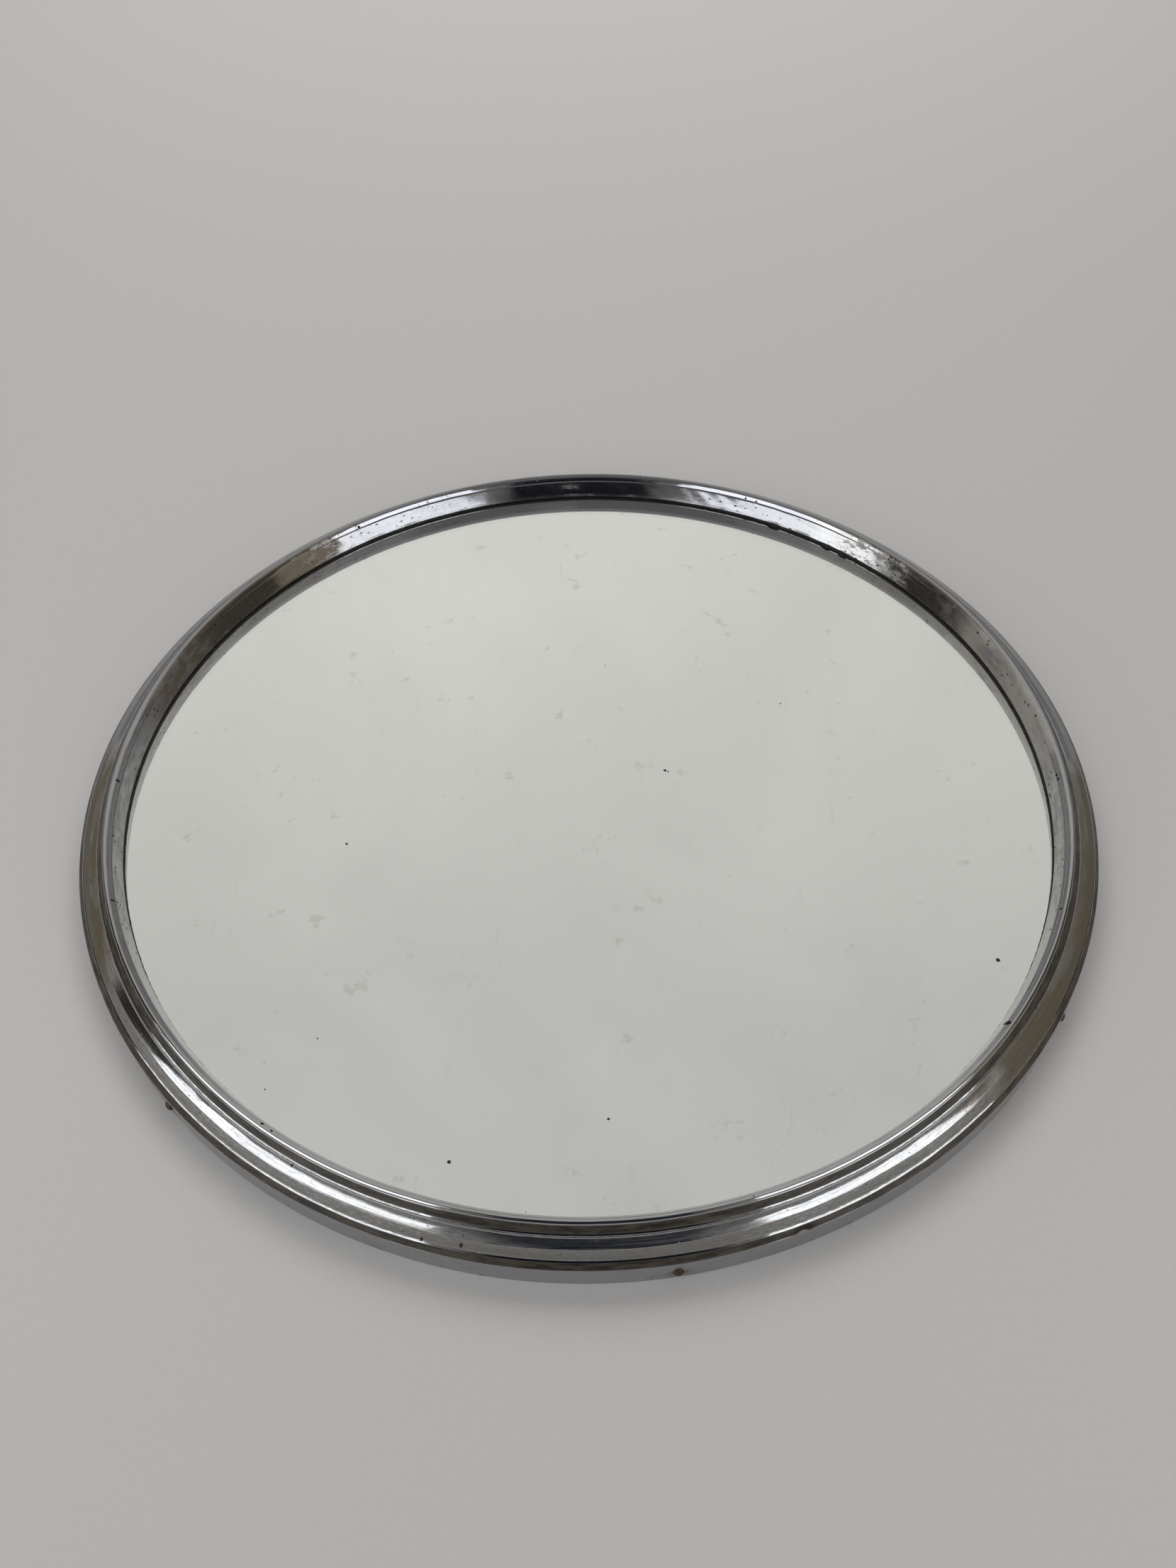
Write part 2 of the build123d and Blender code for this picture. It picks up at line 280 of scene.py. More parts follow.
class Plate(RingPlace):
    """The ring's plate: its noises, the zones of its section, and masks of what lies on it."""

    def __init__(self, tree):
        super().__init__(tree)
        self.streak = tree.noise(self.stretched(40.0, 0.9), 1.0, 4.0, 0.6)
        self.slow = tree.noise(self.stretched(30.0, 6.0), 1.0, 4.0, 0.55)
        self.fine = tree.noise(self.stretched(2.5, 0.35), 1.0, 3.0, 0.6)
        self.mottle = tree.noise(self.stretched(9.0, 2.5), 1.0, 5.0, 0.65)
        self.cloud = tree.noise(self.spot, 55.0, 4.0, 0.6)
        self.patchy = tree.step(self.mottle, 0.36, 0.62)
        self.streaky = tree.step(self.streak, 0.40, 0.64)

        above_lip = tree.step(self.height, LIP_Z / MM, LIP_Z / MM + 0.3)
        above_rim = tree.step(self.height, *RIM_FADE)
        self.wall = tree.both(tree.step(self.radius, *WALL_FADE, 1.0, 0.0), above_lip)
        self.first_band = tree.between(self.radius, *FIRST_BAND, 0.12)
        self.roll = tree.between(self.radius, *ROLL, 0.2)
        self.last_band = tree.both(tree.between(self.radius, *LAST_BAND, 0.12), above_rim)
        self.dirt = tree.any(self.first_band, self.last_band)
        self.skirt = tree.step(self.height, *SKIRT_FADE, 1.0, 0.0)

    def grime_and_painted_reflection(self):
        """Brown dirt: in the two bands, in patches of the roll and the wall, and thinly elsewhere. On the
        left of the roll it is partly tarnish and partly a painted dark reflection of the dim room.
        """
        tree = self.tree
        left_roll = self.sector(193.0, 13.0, 8.0)
        right_roll = self.sector(-25.0, 20.0, 5.0)
        upper_left_roll = self.sector(152.0, 14.0, 8.0)
        side_walls = self.sectors((2.0, 24.0, 8.0), (180.0, 22.0, 8.0))
        return tree.any(
            tree.both(self.first_band, tree.step(self.streak, 0.25, 0.60, 0.70, 1.0)),
            tree.both(self.last_band, tree.step(self.streak, 0.25, 0.60, 0.75, 1.0)),
            # Left of the roll: tarnish, darkened further as a painted dark reflection of the dim room.
            tree.both(self.roll, left_roll, tree.step(self.slow, 0.30, 0.62, 0.78, 1.0)),
            tree.both(self.roll, right_roll, tree.step(self.slow, 0.30, 0.65, 0.85, 1.0)),
            tree.both(self.roll, upper_left_roll, self.patchy, 0.22),
            tree.both(self.roll, self.streaky, 0.20),
            tree.both(self.wall, side_walls, self.patchy, 0.38),
            tree.both(self.skirt, tree.step(self.cloud, 0.50, 0.72, 0.0, 0.5)),
            tree.both(self.wall, tree.step(self.streak, 0.55, 0.80, 0.0, 0.20)),
        )

    def film(self):
        """Dull film on the lower part of the roll, its upper edge wandering with the streaks."""
        tree = self.tree
        uneven = tree.maths("ADD", self.radius, tree.maths("MULTIPLY", self.streak, 1.6))
        inside = tree.step(self.radius, *LOW_ROLL_END_FADE, 1.0, 0.0)
        low_roll = tree.both(tree.step(uneven, *LOW_ROLL_FADE), inside)
        return tree.both(low_roll, tree.step(self.fine, 0.30, 0.55, 0.70, 0.95))

    def haze(self):
        """Thin grey haze on the skirt and on both side walls."""
        tree = self.tree
        return tree.any(
            tree.both(self.skirt, 0.35),
            tree.both(self.wall, self.sector(5.0, 34.0, 14.0), 0.40),
            tree.both(self.wall, self.sector(182.0, 30.0, 14.0), 0.40),
        )

    def dust(self):
        """Pale dust on the right wall."""
        tree = self.tree
        return tree.both(self.wall, self.sector(12.0, 9.0, 9.0), tree.step(self.slow, 0.30, 0.60, 0.45, 0.80))

    def crease_shade(self):
        """Broken dark line in the creases beside the roll: painted shade where the steps face down, with some
        dirt.
        """
        tree = self.tree
        first = tree.between(self.radius, *FIRST_CREASE, 0.2)
        last = tree.between(self.radius, *LAST_CREASE, 0.15)
        return tree.both(tree.any(first, last), tree.step(self.fine, 0.35, 0.60), 0.6)

    def stain(self):
        """Outlines of dried drops on the wall."""
        tree = self.tree
        outline = tree.noise(self.stretched(7.0, 3.0), 1.0, 1.5, 0.4, 0.6)
        stained = self.sectors((127.0, 3.0, 1.0), (113.0, 3.0, 1.5), (134.5, 1.2, 0.6), (43.0, 6.0, 2.0))
        return tree.both(tree.both(self.wall, stained), tree.near(outline, 0.54, 0.014))

    def smear(self):
        """Smears on the upper walls."""
        tree = self.tree
        places = self.sectors((134.0, 3.0, 1.5), (42.0, 5.0, 2.0))
        return tree.both(self.wall, places, tree.step(self.mottle, 0.48, 0.60))

    def scuff(self):
        """Small scuff at the top of the wall."""
        tree = self.tree
        place = tree.both(self.wall, self.sector(91.5, 0.5, 1.4), tree.near(self.height, 16.2, 2.2))
        return tree.both(place, tree.step(self.fine, 0.42, 0.55))

    def drip(self):
        """Dull drip on the right wall."""
        tree = self.tree
        place = tree.both(self.wall, self.sector(15.0, 3.5, 3.0), tree.near(self.height, 17.5, 3.0))
        return tree.both(place, tree.step(self.mottle, 0.47, 0.56))

    def pits(self):
        """Black pits, most of them on the side walls and the left roll, and lumps of dirt."""
        tree = self.tree
        side_walls = tree.both(self.wall, self.sectors((20.0, 45.0, 15.0), (165.0, 40.0, 15.0)))
        left_roll = tree.both(tree.any(self.roll, self.dirt), self.sector(180.0, 45.0, 15.0))
        pits = tree.any(
            tree.both(self.spots(5.0, 1.8, 0.22, 0.50), side_walls),
            self.spots(2.6, 1.4, 0.20, 0.07),
            tree.both(self.spots(3.0, 1.4, 0.24, 0.26), left_roll),
        )
        wobble = tree.maths("MULTIPLY", tree.noise(self.spot, 1300.0, 2.0), 0.8 * MM)
        for azimuth, radius, size in DIRT_SPOTS:
            turn = math.radians(azimuth)
            middle = (radius * MM * math.cos(turn), radius * MM * math.sin(turn), 0.0)
            gap = tree.maths("ADD", tree.vector("DISTANCE", self.flat, middle, output="Value"), wobble)
            pits = tree.any(pits, tree.step(gap, (size + 0.2) * MM, (size + 0.5) * MM, 1.0, 0.0))
        return pits

    def rust(self):
        """Rust along the foot of the skirt and round each pin in it."""
        tree = self.tree
        foot = tree.step(self.height, 0.6, 2.4, 1.0, 0.0)
        rust = tree.both(self.skirt, foot, self.spots(5.0, 3.0, 0.30, 0.22))
        for azimuth in PIN_AZIMUTHS:
            halo = tree.both(self.sector(azimuth, 0.6, 1.0), tree.near(self.height, PIN_HEIGHT, 4.0))
            halo = tree.both(self.skirt, halo)
            rust = tree.any(rust, tree.both(halo, tree.step(self.mottle, 0.35, 0.60, 0.15, 0.75)))
        return rust

    def bare(self, haze):
        """Colour of the plate itself: streaked, speckled on the roll and duller on the upper walls."""
        tree = self.tree
        colour = tree.mix(self.cloud, (0.46, 0.465, 0.475), (0.41, 0.41, 0.415))
        colour = tree.mix(tree.both(self.streaky, 0.25), colour, (0.30, 0.29, 0.27))
        colour = tree.mix(haze, colour, (0.40, 0.395, 0.39))
        speckle = tree.noise(self.stretched(3.2, 1.1), 1.0, 4.0, 0.7)
        speckled = tree.both(self.roll, tree.step(speckle, 0.50, 0.66, 0.0, 0.6))
        colour = tree.mix(speckled, colour, (0.22, 0.23, 0.25))
        dulled = tree.both(self.wall, self.sectors((112.0, 12.0, 8.0), (72.0, 16.0, 6.0)))
        dulled = tree.both(dulled, tree.step(self.slow, 0.30, 0.70, 0.70, 1.0))
        return tree.mix(dulled, colour, (0.335, 0.335, 0.365))


def chrome_plate():
    """Old nickel-chrome plate: streaked, pitted and stained, with brown dirt in its steps, painted shade in
    its creases and a painted dark reflection on the left of the roll.
    """
    made, tree = material("chrome_plate")
    plate = Plate(tree)
    grime_and_painted_reflection = plate.grime_and_painted_reflection()
    film = plate.film()
    haze = plate.haze()
    dust = plate.dust()
    smear = plate.smear()
    scuff = plate.scuff()
    drip = plate.drip()
    pits = plate.pits()
    rust = plate.rust()

    film_colour = tree.mix(plate.cloud, (0.135, 0.128, 0.118), (0.092, 0.085, 0.076))
    # Brown tarnish colour; on the left of the roll it is partly a painted dark reflection of the room.
    grime_and_painted_reflection_colour = tree.mix(plate.slow, (0.058, 0.049, 0.037), (0.088, 0.073, 0.047))
    darker = tree.step(plate.mottle, 0.35, 0.65)
    dirt_colour = tree.mix(darker, (0.020, 0.017, 0.014), (0.058, 0.049, 0.038))
    colour = plate.bare(haze)
    for mask, over in (
        (film, film_colour),
        (grime_and_painted_reflection, grime_and_painted_reflection_colour),
        (plate.dirt, dirt_colour),
        (dust, (0.30, 0.285, 0.25)),
        (tree.both(smear, 0.6), (0.27, 0.24, 0.20)),
        (tree.both(plate.stain(), 0.7), (0.10, 0.09, 0.08)),
        (tree.any(scuff, drip), (0.20, 0.20, 0.21)),
        # Pits and lumps of dirt, and the painted shade in the creases: all near black.
        (tree.any(pits, plate.crease_shade()), (0.02, 0.017, 0.014)),
        (rust, (0.11, 0.05, 0.022)),
    ):
        colour = tree.mix(mask, colour, over)

    roughness = tree.step(plate.fine, 0.30, 0.75, 0.045, 0.13)
    rubbed = tree.any(scuff, drip, smear, pits, rust)
    for mask, rise in ((grime_and_painted_reflection, 0.28), (haze, 0.16), (rubbed, 0.30), (film, 0.25)):
        roughness = tree.maths("ADD", roughness, tree.both(mask, rise))

    bump = tree.bump(tree.noise(plate.spot, 1100.0, 2.0), 0.006 * MM, 0.5)
    bump = tree.bump(tree.both(tree.noise(plate.spot, 1500.0, 1.0), plate.roll), 0.010 * MM, 0.5, bump)
    bump = tree.bump(tree.maths("SUBTRACT", 1.0, tree.any(pits, rust)), 0.05 * MM, 0.6, bump)

    covered = tree.any(grime_and_painted_reflection, film, dust, tree.both(scuff, 0.7))
    metal = tree.step(covered, 0.0, 1.0, 1.0, 0.05)
    surface(tree, colour, roughness, bump, Metallic=metal, Specular_IOR_Level=0.25)
    return made


def clear_glass():
    """Clear float glass with faint wiped smudges."""
    made, tree = material("clear_glass")
    place = tree.place()
    smudge = tree.noise(place, 22.0, 5.0, 0.6, 0.8)
    surface(
        tree,
        (0.985, 0.99, 0.985, 1.0),
        tree.step(smudge, 0.62, 0.80, 0.0, 0.015),
        tree.bump(tree.noise(place, 14.0, 1.0), 0.002 * MM, 0.2),
        Transmission_Weight=1.0,
        IOR=1.52,
    )
    return made


def silvering():
    """Silver on glass: faintly clouded and wiped, with a few black specks where it has gone."""
    made, tree = material("silvering")
    place = tree.place()
    cloud = tree.noise(place, 14.0, 5.0, 0.65, 0.5)
    wipe = tree.noise(tree.vector("MULTIPLY", place, (60.0, 22.0, 1.0)), 1.0, 4.0, 0.7, 1.2)
    wobble = tree.maths("MULTIPLY", tree.noise(place, 1500.0, 2.0), 0.7 * MM)
    gone = 0.0
    for x, y, radius in SPECKS:
        gap = tree.vector("DISTANCE", place, (x * MM, y * MM, SILVER_TOP), output="Value")
        spot = tree.step(tree.maths("ADD", gap, wobble), (radius + 0.2) * MM, (radius + 0.5) * MM, 1.0, 0.0)
        gone = tree.any(gone, spot)
    freckle = tree.cells(tree.scaled(place, 45.0))
    chosen = tree.step(tree.split(freckle.outputs["Color"])[0], 0.80, 0.82)
    freckles = tree.both(chosen, tree.step(freckle.outputs["Distance"], 0.012, 0.022, 1.0, 0.0), 0.5)
    colour = tree.mix(cloud, (0.945, 0.945, 0.93), (0.905, 0.905, 0.89))
    marks = tree.noise(place, 75.0, 4.0, 0.6)
    colour = tree.mix(tree.step(marks, 0.64, 0.73, 0.0, 0.35), colour, (0.55, 0.55, 0.52))
    colour = tree.mix(tree.step(wipe, 0.62, 0.78, 0.0, 0.16), colour, (0.60, 0.60, 0.57))
    colour = tree.mix(tree.any(gone, freckles), colour, (0.01, 0.01, 0.01))
    roughness = tree.step(wipe, 0.66, 0.80, 0.0, 0.03)
    surface(tree, colour, roughness, tree.bump(cloud, 0.001 * MM, 0.1), Metallic=1.0)
    return made


def mastic():
    """Soft black glazing compound, dull, with a few pale flakes of dust."""
    made, tree = material("mastic")
    place = tree.place()
    lumps = tree.noise(place, 900.0, 4.0, 0.6)
    flakes = tree.step(tree.noise(place, 420.0, 3.0, 0.7), 0.70, 0.74)
    colour = tree.mix(lumps, (0.006, 0.006, 0.006), (0.018, 0.017, 0.016))
    colour = tree.mix(tree.both(flakes, 0.6), colour, (0.20, 0.19, 0.17))
    surface(tree, colour, tree.step(lumps, 0.3, 0.7, 0.40, 0.70), tree.bump(lumps, 0.12 * MM))
    return made


def paper(name, pale, dark, scale=260.0):
    """Fibrous paper or board with cloudy stains."""
    made, tree = material(name)
    place = tree.place()
    fibres = tree.noise(tree.vector("MULTIPLY", place, (6.0 * scale, scale, scale)), 1.0, 4.0, 0.7, 1.5)
    stains = tree.noise(place, 16.0, 5.0, 0.6, 0.4)
    colour = tree.mix(tree.step(fibres, 0.3, 0.7), pale, dark)
    stain = tuple(0.45 * part for part in dark)
    colour = tree.mix(tree.step(stains, 0.52, 0.75, 0.0, 0.6), colour, stain)
    surface(tree, colour, tree.step(fibres, 0.2, 0.8, 0.72, 0.90), tree.bump(fibres, 0.05 * MM, 0.6))
    return made


def plywood():
    """Birch plywood: long grain with darker lines and a few pores."""
    made, tree = material("plywood")
    place = tree.place()
    grain = tree.noise(tree.vector("MULTIPLY", place, (18.0, 190.0, 400.0)), 1.0, 5.0, 0.6, 0.8)
    pores = tree.noise(tree.vector("MULTIPLY", place, (120.0, 1800.0, 900.0)), 1.0, 2.0)
    colour = tree.mix(tree.step(grain, 0.3, 0.7), (0.50, 0.34, 0.19), (0.33, 0.20, 0.10))
    colour = tree.mix(tree.step(pores, 0.62, 0.72, 0.0, 0.6), colour, (0.16, 0.09, 0.045))
    surface(tree, colour, tree.step(grain, 0.3, 0.7, 0.55, 0.72), tree.bump(pores, 0.06 * MM, 0.5))
    return made


def paint():
    """Matt red-brown protective paint with brush marks and rubbed patches."""
    made, tree = material("mirror_paint")
    place = tree.place()
    brush = tree.noise(tree.vector("MULTIPLY", place, (25.0, 900.0, 900.0)), 1.0, 3.0)
    worn = tree.noise(place, 40.0, 5.0, 0.65)
    colour = tree.mix(brush, (0.34, 0.13, 0.095), (0.25, 0.09, 0.065))
    colour = tree.mix(tree.step(worn, 0.60, 0.72, 0.0, 0.5), colour, (0.16, 0.07, 0.05))
    surface(tree, colour, tree.step(brush, 0.3, 0.7, 0.50, 0.66), tree.bump(brush, 0.03 * MM, 0.5))
    return made


def steel(name, pale, dark, rusty, rough):
    """Bare or plated steel: scratched, dulled, and the rustier the nearer rusty is to one."""
    made, tree = material(name)
    place = tree.place()
    scratch = tree.noise(tree.vector("MULTIPLY", place, (180.0, 2600.0, 900.0)), 1.0, 2.0)
    crystal = tree.cells(tree.scaled(place, 520.0))
    cloud = tree.noise(place, 330.0, 5.0, 0.7)
    rust = tree.step(cloud, 0.72 - 0.36 * rusty, 0.80 - 0.36 * rusty)
    colour = tree.mix(tree.split(crystal.outputs["Color"])[1], pale, dark)
    scab = tree.mix(tree.noise(place, 1400.0, 3.0), (0.115, 0.05, 0.024), (0.03, 0.016, 0.011))
    colour = tree.mix(rust, colour, scab)
    roughness = tree.maths("ADD", tree.step(scratch, 0.3, 0.7, rough, rough + 0.12), tree.both(rust, 0.35))
    bump = tree.bump(tree.maths("ADD", scratch, tree.both(rust, cloud)), 0.04 * MM, 0.5)
    surface(tree, colour, roughness, bump, Metallic=tree.step(rust, 0.0, 1.0, 1.0, 0.1))
    return made


def cork():
    """Pressed cork: pale and dark granules."""
    made, tree = material("cork")
    place = tree.place()
    granules = tree.cells(tree.scaled(place, 700.0))
    tone = tree.split(granules.outputs["Color"])[0]
    colour = tree.mix(tone, (0.46, 0.29, 0.15), (0.27, 0.15, 0.07))
    edges = granules.outputs["Distance"]
    colour = tree.mix(tree.step(edges, 0.45, 0.75, 0.0, 0.7), colour, (0.12, 0.065, 0.03))
    surface(tree, colour, tree.step(tone, 0.0, 1.0, 0.75, 0.90), tree.bump(edges, 0.15 * MM, 0.6))
    return made


CORK = cork()
ZINC = steel("zinc_steel", (0.60, 0.61, 0.62), (0.44, 0.45, 0.46), 0.20, 0.34)
FINISHES = {
    "bezel_ring": chrome_plate(),
    "mirror_glass": clear_glass(),
    "silver_coat": silvering(),
    "back_paint": paint(),
    "edge_tape": paper("gummed_tape", (0.34, 0.25, 0.14), (0.24, 0.17, 0.09), 400.0),
    "lip_seal": mastic(),
    "cushion_paper": paper("grey_paper", (0.36, 0.35, 0.32), (0.26, 0.25, 0.23)),
    "backing_board": plywood(),
    "back_paper": paper("brown_paper", (0.38, 0.26, 0.155), (0.27, 0.18, 0.105)),
    "skirt_pins": steel("rusty_steel", (0.12, 0.09, 0.065), (0.06, 0.042, 0.03), 0.60, 0.42),
    "hanger_strap": ZINC,
    "hanger_rivets": ZINC,
    "hanger_ring": steel("steel_wire", (0.46, 0.46, 0.46), (0.36, 0.355, 0.35), 0.30, 0.28),
}
for name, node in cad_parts.items():
    finish = FINISHES.get(name, CORK)
    node.data.materials.clear()
    node.data.materials.append(finish)


# Meshes

def arc(first, middle, last, count):
    """Points of the arc through three points, without its two ends."""
    (x0, y0), (x1, y1), (x2, y2) = first, middle, last
    rows = np.array([[x1 - x0, y1 - y0], [x2 - x0, y2 - y0]]) * 2
    sums = np.array([x1 * x1 - x0 * x0 + y1 * y1 - y0 * y0, x2 * x2 - x0 * x0 + y2 * y2 - y0 * y0])
    centre = np.linalg.solve(rows, sums)
    turns = np.unwrap([math.atan2(y - centre[1], x - centre[0]) for x, y in (first, middle, last)])
    radius = math.dist(first, centre)
    angles = np.linspace(turns[0], turns[2], count + 2)[1:-1]
    return [(centre[0] + radius * math.cos(a), centre[1] + radius * math.sin(a)) for a in angles]


def rounded(corner, before, after, radius):
    """Four points that round a corner, a quadratic curve between its two tangent points."""
    here, back, ahead = Vector(corner), Vector(before), Vector(after)
    inwards = (back - here).normalized()
    onwards = (ahead - here).normalized()
    half = inwards.angle(onwards) / 2
    reach = min(radius / math.tan(half), 0.45 * (back - here).length, 0.45 * (ahead - here).length)
    first, last = here + inwards * reach, here + onwards * reach
    curve = [first.lerp(here, t).lerp(here.lerp(last, t), t) for t in (0.0, 0.33, 0.67, 1.0)]
    return [tuple(point) for point in curve]


def filled(points, longest):
    """The same open outline with no piece longer than longest, and short pieces beside every corner."""
    full = []
    for first, last in zip(points, points[1:]):
        length = math.dist(first, last)
        pieces = max(1, math.ceil(length / longest))
        stops = [k / pieces for k in range(pieces)]
        if length > 0.9:
            stops = sorted(stops + [0.12 / length, 1 - 0.12 / length])
        full += [tuple(Vector(first).lerp(Vector(last), stop)) for stop in stops]
    return full + [points[-1]]


def ring_profile():
    """Closed outline of the ring in mm, as (radius, height), from the lip outwards and back inside."""
    lip_r, lip_z, crest_r, crest_z = LIP_R / MM, LIP_Z / MM, CREST_R / MM, CREST_Z / MM
    ring_r, rim_z, sheet = RING_R / MM, RIM_Z / MM, SHEET / MM
    shoulder = (lip_r + 1.8, lip_z + 8.1)
    crest = (crest_r, crest_z)
    step = (crest_r + 0.95, crest_z - 0.42)
    band_end = (crest_r + 3.1, crest_z - 2.85)
    ledge = (crest_r + 3.95, crest_z - 3.4)
    roll = (crest_r + 4.3, crest_z - 3.95)
    roll_end = (ring_r - 3.0, rim_z + 2.5)
    low_ledge = (ring_r - 2.85, rim_z + 2.42)
    last_band = (ring_r - 2.1, rim_z + 1.95)
    inner_roll = (ring_r - 2.9, rim_z + 1.4)
    inner_roll_end = (crest_r + 4.3, crest_z - 5.1)
    inner_crest = (crest_r - 0.1, crest_z - 0.9)
    inner_wall = (lip_r + 2.6, lip_z + 8.1)
    corners = [
        ("round", (lip_r, lip_z), 0.3),
        ("sharp", shoulder),
        ("arc", shoulder, (lip_r + 2.8, crest_z - 1.4), crest, 9),
        ("sharp", crest),
        ("arc", crest, (crest_r + 0.5, crest_z - 0.13), step, 4),
        ("sharp", step),
        ("round", (crest_r + 1.15, crest_z - 1.1), 0.1),
        ("sharp", band_end),
        ("arc", band_end, (crest_r + 3.55, crest_z - 3.05), ledge, 4),
        ("sharp", ledge),
        ("round", (crest_r + 4.1, crest_z - 4.0), 0.1),
        ("sharp", roll),
        ("arc", roll, (crest_r + 7.58, crest_z - 5.25), roll_end, 15),
        ("sharp", roll_end),
        ("sharp", low_ledge),
        ("arc", low_ledge, (ring_r - 2.45, rim_z + 2.24), last_band, 4),
        ("sharp", last_band),
        ("round", (ring_r, rim_z), 0.4),
        ("round", (ring_r, 0.0), 0.1),
        ("round", (ring_r - sheet, 0.0), 0.1),
        ("round", (ring_r - sheet, rim_z - 0.5), 0.15),
        ("sharp", inner_roll),
        ("arc", inner_roll, (crest_r + 7.4, crest_z - 5.5), inner_roll_end, 3),
        ("sharp", inner_roll_end),
        ("sharp", (crest_r + 3.1, crest_z - 5.0)),
        ("sharp", (crest_r + 2.85, crest_z - 3.95)),
        ("sharp", (crest_r + 0.2, crest_z - 1.6)),
        ("sharp", inner_crest),
        ("arc", inner_crest, (lip_r + 3.4, crest_z - 1.9), inner_wall, 3),
        ("sharp", inner_wall),
        ("sharp", (lip_r + 0.85, lip_z)),
    ]
    places = [item[1] for item in corners if item[0] != "arc"]
    points = []
    for item in corners:
        if item[0] == "arc":
            points += arc(*item[1:])
        elif item[0] == "sharp":
            points.append(item[1])
        else:
            at = places.index(item[1])
            points += rounded(item[1], places[at - 1], places[(at + 1) % len(places)], item[2])
    outside = points.index(max(points, key=lambda point: (point[0], -point[1])))
    return filled(points[:outside + 1], 1.3) + points[outside + 1:]


def ripple(seed, waves, size):
    """Smooth random surface in mm over azimuth and section: a sum of sine waves, seeded.

    Each of waves is the range of turns round the ring, the range of rates across its section
    and the number of such waves.
    """
    dice = np.random.default_rng(seed)
    parts = [(int(dice.integers(*around)), dice.uniform(*across), dice.uniform(0, 2 * math.pi))
             for around, across, count in waves for _ in range(count)]

    def at(angles, outline):
        place = (outline[:, 0] - outline[:, 1])[None, :]
        total = sum(np.sin(turns * angles[:, None] + rate * place + phase) for turns, rate, phase in parts)
        return size * total / math.sqrt(len(parts))

    return at


def lathe(name, profile, turns, smooth=True, shift=None):
    """Mesh that a closed outline in mm sweeps about the Z axis.

    shift(angles, outline) gives how far each point moves outwards and upwards, in mm.
    """
    angles = np.linspace(0, 2 * math.pi, turns, endpoint=False)
    outline = np.array(profile)
    count = len(outline)
    outwards, upwards = shift(angles, outline) if shift else (0.0, 0.0)
    radius = (outline[None, :, 0] + outwards) * MM
    spots = np.empty((turns, count, 3))
    spots[..., 0] = np.cos(angles)[:, None] * radius
    spots[..., 1] = np.sin(angles)[:, None] * radius
    spots[..., 2] = (outline[None, :, 1] + upwards) * MM
    turn, step = np.meshgrid(np.arange(turns), np.arange(count), indexing="ij")
    next_turn, next_step = (turn + 1) % turns, (step + 1) % count
    faces = np.stack([turn * count + step, turn * count + next_step, next_turn * count + next_step,
                      next_turn * count + step], axis=-1).reshape(-1, 4)
    mesh = bpy.data.meshes.new(name)
    mesh.from_pydata(spots.reshape(-1, 3).tolist(), [], faces.tolist())
    if smooth:
        mesh.shade_smooth()
    piece = bpy.data.objects.new(name, mesh)
    bpy.context.collection.objects.link(piece)
    return piece


def finish(piece, made, slot, body, node):
    """Gives a mesh its material, and says what it rides on and the node it replaces. Its slot is not used."""
    piece.data.materials.append(made)
    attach(piece, body)
    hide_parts(node)


# Waves of the ring's hand-spun unevenness, as ripple takes them.
WORN_WAVES = (((20, 60), (0.2, 0.9), 14), ((60, 130), (0.3, 1.2), 8))


def worn_ring(angles, outline):
    """Hand-spun unevenness of the ring, with a few small dents in it, as (outwards, upwards) in mm."""
    free = np.clip(outline[:, 1] / (CREST_Z / MM), 0, 1)[None, :]
    outwards = ripple(3, WORN_WAVES, 0.022)(angles, outline) * free
    upwards = ripple(5, WORN_WAVES, 0.020)(angles, outline) * free
    for azimuth, (radius, height), depth, reach in DENTS:
        turn = np.degrees(np.angle(np.exp(1j * (angles - math.radians(azimuth)))))[:, None]
        gap = np.hypot(outline[:, 0] - radius, outline[:, 1] - height)[None, :]
        hollow = depth * np.exp(-(turn / reach) ** 2 - (gap / 1.2) ** 2)
        outwards, upwards = outwards - hollow, upwards - 0.5 * hollow
    return outwards, upwards


def chrome_ring():
    piece = lathe("chrome_ring", ring_profile(), 840, shift=worn_ring)
    finish(piece, FINISHES["bezel_ring"], "chrome_plate", "mirror", "bezel_ring")


def ragged_bead(angles, outline):
    """Free edge of the mastic: ragged all round, and squeezed out further at the upper right."""
    free = np.clip((LIP_R / MM + 0.3 - outline[:, 0]) / 0.3, 0, 1)[None, :]
    rough = ripple(11, (((60, 400), (0.0, 0.1), 30),), 0.07)(angles, outline)
    lumps = np.clip(ripple(12, (((30, 160), (0.0, 0.1), 20),), 0.9)(angles, outline), 0, None)
    right = np.exp(-((np.degrees(angles) - 54) / 11) ** 4)[:, None]
    return -free * np.clip(rough + right * (0.15 + lumps), -0.2, 1.4), np.zeros(1)


def mastic_bead():
    """Bead of mastic under the lip. Its foot is just inside the glass, so no two faces share a plane."""
    lip, foot = LIP_R / MM, GLASS_TOP / MM - 0.03
    top = LIP_Z / MM
    profile = [(lip + 3.8, foot), (lip + 1.2, top + 0.7), (lip + 0.8, top + 0.05), (lip + 0.3, top + 0.05),
               (lip + 0.1, top), (lip + 0.02, top - 0.08), (lip, foot)]
    piece = lathe("mastic_bead", profile, 2160, shift=ragged_bead)
    finish(piece, FINISHES["lip_seal"], "mastic", "mirror", "lip_seal")


def silver_layer():
    """Silver on the back of the glass. It starts just inside the glass, so no two faces share a plane."""
    low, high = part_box("silver_coat")
    radius = high[0] / MM
    top, bottom = high[2] / MM + 0.02, low[2] / MM + 0.005
    profile = [(0.01, top), (radius, top), (radius, bottom), (0.01, bottom)]
    piece = lathe("silver_layer", profile, 360, smooth=False)
    finish(piece, FINISHES["silver_coat"], "silvering", "mirror", "silver_coat")


# Studio

